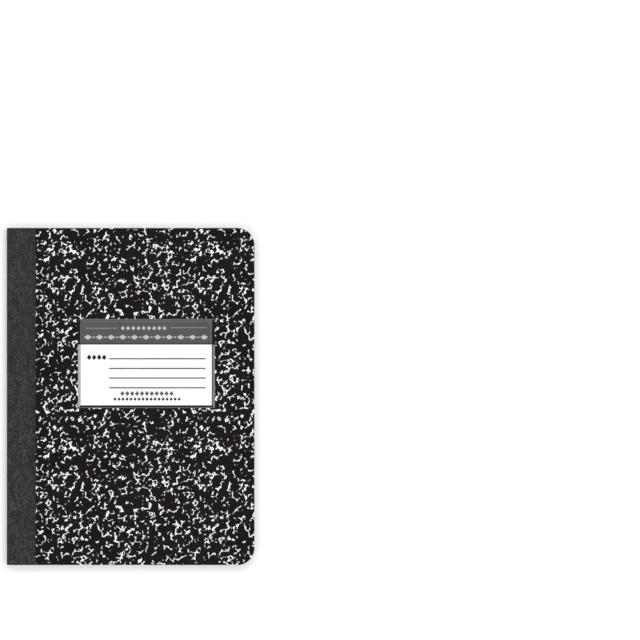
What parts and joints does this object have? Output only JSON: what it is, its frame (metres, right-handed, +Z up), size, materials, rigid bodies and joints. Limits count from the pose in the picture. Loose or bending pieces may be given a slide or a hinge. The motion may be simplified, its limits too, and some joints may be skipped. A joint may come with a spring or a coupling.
{
  "type": "composition notebook",
  "caption": "Sewn composition notebook lying closed on its back, with marbled boards rounded at the fore edge, a dark cloth spine strip and a blank printed name panel",
  "frame": {"origin": "middle of the closed book's footprint, on the surface that the back cover lies on", "axes": "+Z up through the front cover, +Y towards the head of the book, spine on the -X side, fore edge on the +X side"},
  "size_m": [0.182, 0.2476, 0.0082],
  "materials": {
    "cover_board": "satin",
    "writing_paper": "matte",
    "lining_paper": "matte",
    "spine_cloth": "matte",
    "sewing_thread": "matte"
  },
  "bodies": {
    "back_board": {"back_cover": "cover_board"},
    "pages": {"page_block": "writing_paper", "lining_sheet": "lining_paper", "spine_tape": "spine_cloth", "outer_thread": "sewing_thread", "inner_thread": "sewing_thread"},
    "front_board": {"front_cover": "cover_board"}
  },
  "joints": [
    {"name": "back_cover_hinge", "type": "hinge", "parent": "back_board", "child": "pages", "pos_m": [-0.0885, 0, 0.0041], "axis": [0, -1, 0], "range_deg": [0, 179.8], "deforming": ["spine_tape", "lining_sheet"]},
    {"name": "front_cover_hinge", "type": "hinge", "parent": "pages", "child": "front_board", "pos_m": [-0.0885, 0, 0.0041], "axis": [0, -1, 0], "range_deg": [0, 179.8], "deforming": ["spine_tape", "lining_sheet"]}
  ]
}
